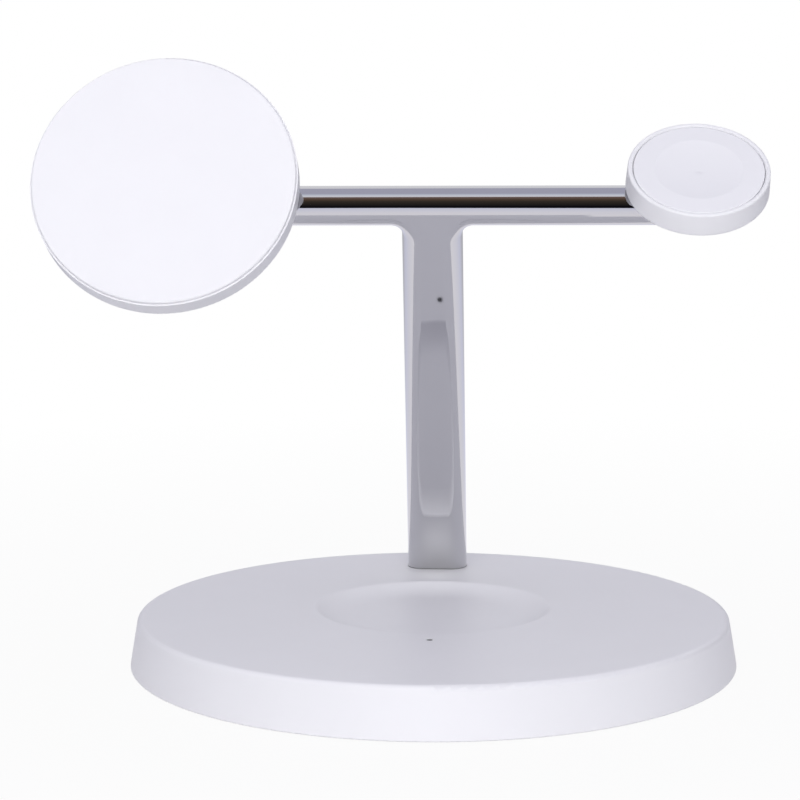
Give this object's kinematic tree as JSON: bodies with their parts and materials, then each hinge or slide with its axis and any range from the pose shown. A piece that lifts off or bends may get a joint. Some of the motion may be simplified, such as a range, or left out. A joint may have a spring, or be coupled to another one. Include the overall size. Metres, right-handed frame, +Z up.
{
  "type": "three in one wireless charger",
  "caption": "Round weighted base with a shallow earbud dish, a forward-leaning polished T-shaped stand, and tilted phone and watch charging discs at the ends of its bar.",
  "frame": {"origin": "centre of the foot pad's underside, on the table under the middle of the round base", "axes": "+X along the bar towards the watch disc, +Y to the back, +Z up"},
  "size_m": [0.1542, 0.1318, 0.1304],
  "materials": {
    "white_plastic": "fine satin",
    "grey_plastic": "moulded",
    "grey_silicone": "matt",
    "white_soft_face": "soft matt",
    "white_gloss_face": "satin gloss",
    "polished_chrome": "mirror polished",
    "steel": "plain",
    "magnet": "nickel plated",
    "copper_winding": "lacquered wire",
    "ferrite": "matt",
    "circuit_board": "lacquered",
    "black_plastic": "moulded",
    "light_pipe": "clear",
    "lead_jacket": "matt"
  },
  "bodies": {
    "root": {"base_shell": "white_plastic", "base_plate": "grey_plastic", "foot_pad": "grey_silicone", "base_screws": "steel", "ballast": "steel", "earbud_coil": "copper_winding", "earbud_ferrite": "ferrite", "main_board": "circuit_board", "board_parts": "black_plastic", "inlet_shell": "steel", "inlet_tongue": "black_plastic", "light_board": "circuit_board", "light_pipe": "light_pipe", "stand_front": "polished_chrome", "stand_rear": "polished_chrome", "column_foot": "steel", "column_screws": "steel", "phone_lead": "lead_jacket", "watch_lead": "lead_jacket", "phone_housing": "white_plastic", "phone_pad": "white_soft_face", "phone_magnets": "magnet", "phone_board": "circuit_board", "phone_ferrite": "ferrite", "phone_coil": "copper_winding", "watch_housing": "white_plastic", "watch_face": "white_gloss_face", "watch_board": "circuit_board", "watch_ferrite": "ferrite", "watch_coil": "copper_winding", "watch_magnet": "magnet"}
  },
  "joints": []
}
